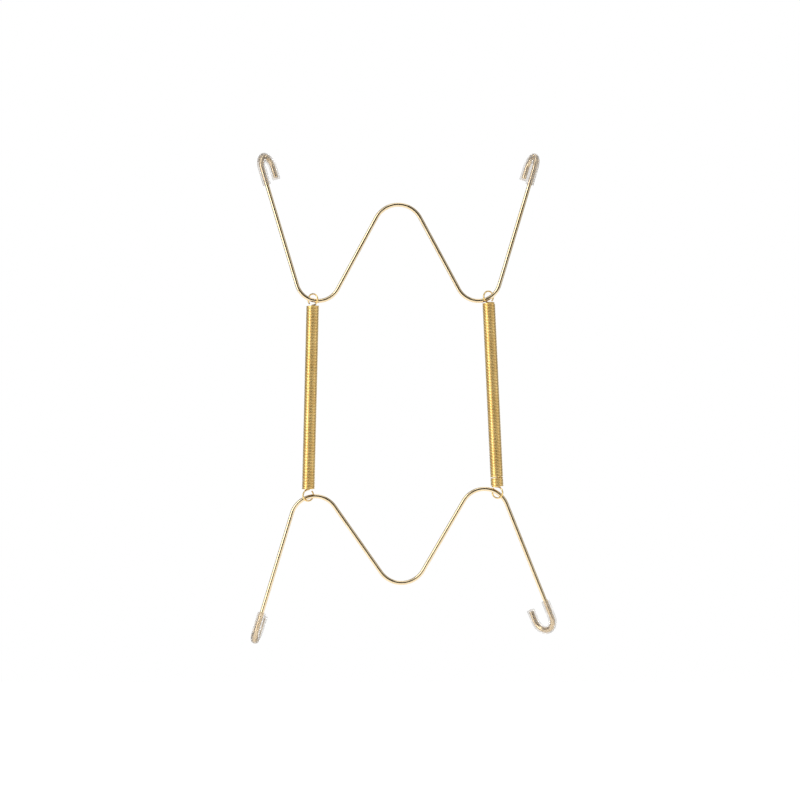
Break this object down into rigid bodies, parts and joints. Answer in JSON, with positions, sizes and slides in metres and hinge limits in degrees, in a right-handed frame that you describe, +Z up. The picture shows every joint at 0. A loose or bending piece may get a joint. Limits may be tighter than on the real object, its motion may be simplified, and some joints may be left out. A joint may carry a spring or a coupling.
{
  "type": "plate hanger",
  "caption": "Brass-coloured wire plate hanger: two bent wires with sleeved hooks, drawn together by extension springs.",
  "frame": {"origin": "under the crown of the upper wire, where the nail bears", "axes": "+Z up along the wall, +Y out from the wall towards the plate, +X to the right seen from the wall"},
  "size_m": [0.1532, 0.0172, 0.2467],
  "materials": {
    "frame_wire": "polished plating",
    "spring_wire": "bright plating",
    "clear_tube": "clear soft vinyl"
  },
  "bodies": {
    "upper_frame": {"upper_wire": "frame_wire", "upper_left_sleeve": "clear_tube", "upper_right_sleeve": "clear_tube"},
    "left_spring": {"left_spring": "spring_wire"},
    "right_spring": {"right_spring": "spring_wire"},
    "lower_frame": {"lower_wire": "frame_wire", "lower_left_sleeve": "clear_tube", "lower_right_sleeve": "clear_tube"}
  },
  "joints": [
    {"name": "upper_swing", "type": "hinge", "parent": "upper_frame", "child": "left_spring", "pos_m": [0.00125, 0, -0.04629], "axis": [0.9999, 0, 0.0109], "range_deg": [-90, 90]},
    {"name": "stretch", "type": "slide", "parent": "left_spring", "child": "right_spring", "axis": [0, 0, -1], "range_m": [0, 0.16], "stiffness_N_per_m": 280, "springref_m": -0.012, "deforming": ["left_spring", "right_spring"]},
    {"name": "lower_swing", "type": "hinge", "parent": "right_spring", "child": "lower_frame", "pos_m": [0.0023, 0, -0.14415], "axis": [0.9997, 0, 0.023], "range_deg": [-90, 90]}
  ]
}
